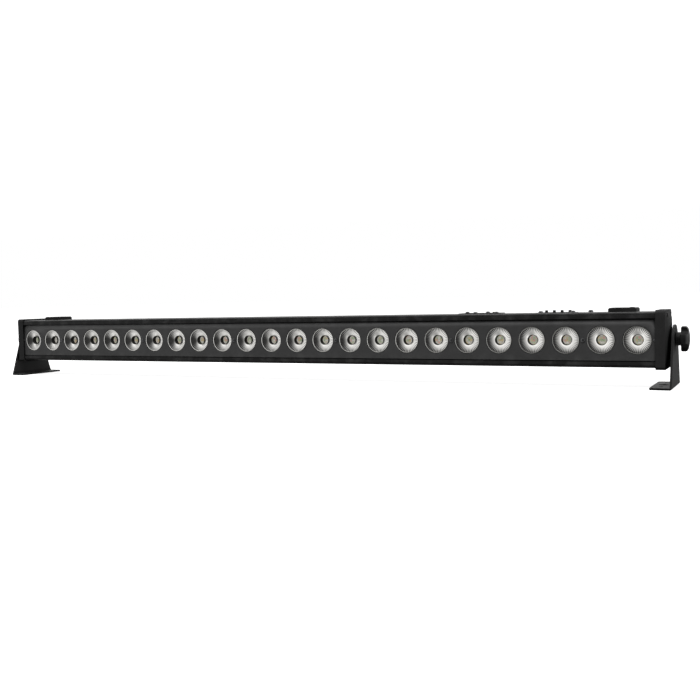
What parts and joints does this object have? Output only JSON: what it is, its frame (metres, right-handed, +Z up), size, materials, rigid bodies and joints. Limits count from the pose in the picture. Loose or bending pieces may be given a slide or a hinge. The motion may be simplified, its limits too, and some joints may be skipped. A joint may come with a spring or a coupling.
{
  "type": "led strip batten",
  "caption": "Long black lighting bar with a row of round lenses along its front, data and mains sockets on top, and a tilting foot with a star knob at each end.",
  "frame": {"origin": "on the floor, midway between the two feet and under the tilt axis", "axes": "X along the bar, the lenses face -Y, +Z up"},
  "size_m": [1.063, 0.084, 0.0951],
  "materials": {
    "black_extrusion": "satin black powder coat",
    "panel_black": "matt dark grey powder coat",
    "optic": "clear moulded optic with silvered flutes",
    "led_board_white": "white solder mask on aluminium",
    "led_phosphor": "clear dome over a yellow chip",
    "cap_black": "satin black cast end",
    "screw_black": "black oxide",
    "steel": "zinc plated",
    "rubber_black": "matt",
    "bracket_black": "satin black powder coat",
    "knob_black": "satin moulded nylon",
    "pcb_green": "solder mask",
    "pcb_blue": "solder mask",
    "transformer_tape": "yellow tape over a ferrite core",
    "capacitor_sleeve": "shrunk sleeve",
    "copper_coil": "enamelled copper wire",
    "brass": "turned brass",
    "display_red": "dark red filter window",
    "plastic_black": "fine moulded grain",
    "button_black": "moulded",
    "contact_metal": "plated",
    "fuse_glass": "glass tube with plated ends",
    "wire_black": "sheathed wire"
  },
  "bodies": {
    "batten": {"housing": "black_extrusion", "front_panel": "panel_black", "front_panel_screws": "screw_black", "led_chips": "led_phosphor", "lens_bank_1": "optic", "lens_bank_2": "optic", "lens_bank_3": "optic", "lens_bank_4": "optic", "lens_bank_5": "optic", "lens_bank_6": "optic", "led_board_1": "led_board_white", "led_board_2": "led_board_white", "led_board_3": "led_board_white", "led_board_4": "led_board_white", "led_board_5": "led_board_white", "led_board_6": "led_board_white", "end_cap_left": "cap_black", "end_cap_right": "cap_black", "end_seals": "rubber_black", "end_cap_screws": "screw_black", "captive_nuts": "steel", "power_board": "pcb_green", "power_transformer": "transformer_tape", "power_capacitors": "capacitor_sleeve", "driver_board": "pcb_blue", "driver_coils": "copper_coil", "board_standoffs": "brass", "control_board": "pcb_green", "display_module": "display_red", "control_bezel": "plastic_black", "bezel_screws": "screw_black", "dmx_input_socket": "plastic_black", "dmx_input_pins": "contact_metal", "dmx_output_socket": "plastic_black", "dmx_output_insert": "plastic_black", "socket_screws": "screw_black", "mains_inlet": "plastic_black", "mains_inlet_pins": "contact_metal", "mains_outlet": "plastic_black", "mains_outlet_core": "plastic_black", "mains_outlet_contacts": "contact_metal", "earth_screw": "screw_black", "wiring_loom": "wire_black"},
    "bracket_left": {"bracket_left": "bracket_black", "bracket_washer_left": "rubber_black"},
    "bracket_right": {"bracket_right": "bracket_black", "bracket_washer_right": "rubber_black"},
    "knob_left": {"knob_left": "knob_black", "knob_stud_left": "steel"},
    "knob_right": {"knob_right": "knob_black", "knob_stud_right": "steel"},
    "mode_button": {"mode_button": "button_black"},
    "setup_button": {"setup_button": "button_black"},
    "down_button": {"down_button": "button_black"},
    "up_button": {"up_button": "button_black"},
    "output_latch": {"dmx_output_latch": "contact_metal"},
    "fuse_drawer": {"fuse_drawer": "plastic_black", "fuse": "fuse_glass"}
  },
  "joints": [
    {"name": "left_bracket_tilt", "type": "hinge", "parent": "batten", "child": "bracket_left", "pos_m": [-0.5151, 0, 0.057], "axis": [1, 0, 0], "continuous": true},
    {"name": "left_knob_turn", "type": "hinge", "parent": "batten", "child": "knob_left", "pos_m": [-0.52235, 0, 0.057], "axis": [1, 0, 0], "continuous": true},
    {"name": "right_bracket_tilt", "type": "hinge", "parent": "batten", "child": "bracket_right", "pos_m": [0.5151, 0, 0.057], "axis": [1, 0, 0], "continuous": true},
    {"name": "right_knob_turn", "type": "hinge", "parent": "batten", "child": "knob_right", "pos_m": [0.52235, 0, 0.057], "axis": [1, 0, 0], "continuous": true},
    {"name": "mode_button_press", "type": "slide", "parent": "batten", "child": "mode_button", "axis": [0, 0, -1], "range_m": [0, 0.0008], "stiffness_N_per_m": 400, "springref_m": -0.0008},
    {"name": "setup_button_press", "type": "slide", "parent": "batten", "child": "setup_button", "axis": [0, 0, -1], "range_m": [0, 0.0008], "stiffness_N_per_m": 400, "springref_m": -0.0008},
    {"name": "down_button_press", "type": "slide", "parent": "batten", "child": "down_button", "axis": [0, 0, -1], "range_m": [0, 0.0008], "stiffness_N_per_m": 400, "springref_m": -0.0008},
    {"name": "up_button_press", "type": "slide", "parent": "batten", "child": "up_button", "axis": [0, 0, -1], "range_m": [0, 0.0008], "stiffness_N_per_m": 400, "springref_m": -0.0008},
    {"name": "latch_press", "type": "slide", "parent": "batten", "child": "output_latch", "axis": [0, 0, -1], "range_m": [0, 0.0018], "stiffness_N_per_m": 500, "springref_m": -0.001},
    {"name": "fuse_drawer_pull", "type": "slide", "parent": "batten", "child": "fuse_drawer", "axis": [0, 0, 1], "range_m": [0, 0.016]}
  ]
}
